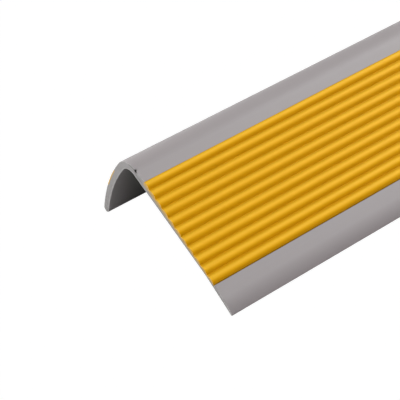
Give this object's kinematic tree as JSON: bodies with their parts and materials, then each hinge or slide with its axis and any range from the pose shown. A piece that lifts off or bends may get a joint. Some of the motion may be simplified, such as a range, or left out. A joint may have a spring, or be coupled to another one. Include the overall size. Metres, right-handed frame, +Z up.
{
  "type": "stair nosing",
  "caption": "Long L-section stair edge trim in grey plastic, with a ribbed yellow anti-slip band on the tread leg, a bowed riser leg and a bent-down back lip.",
  "frame": {"origin": "on the floor, under the middle of the strip's length and of its width as it rests", "axes": "+X along the strip, +Y from the riser leg towards the back edge, +Z up from the level floor that it rests on"},
  "size_m": [1, 0.0548, 0.0242],
  "materials": {
    "grey_plastic": "hard extruded plastic, satin, with faint lengthwise die lines and a sawn end",
    "yellow_plastic": "soft extruded plastic, matte"
  },
  "bodies": {
    "root": {"base_profile": "grey_plastic", "tread_insert": "yellow_plastic", "riser_strip": "yellow_plastic"}
  },
  "joints": []
}
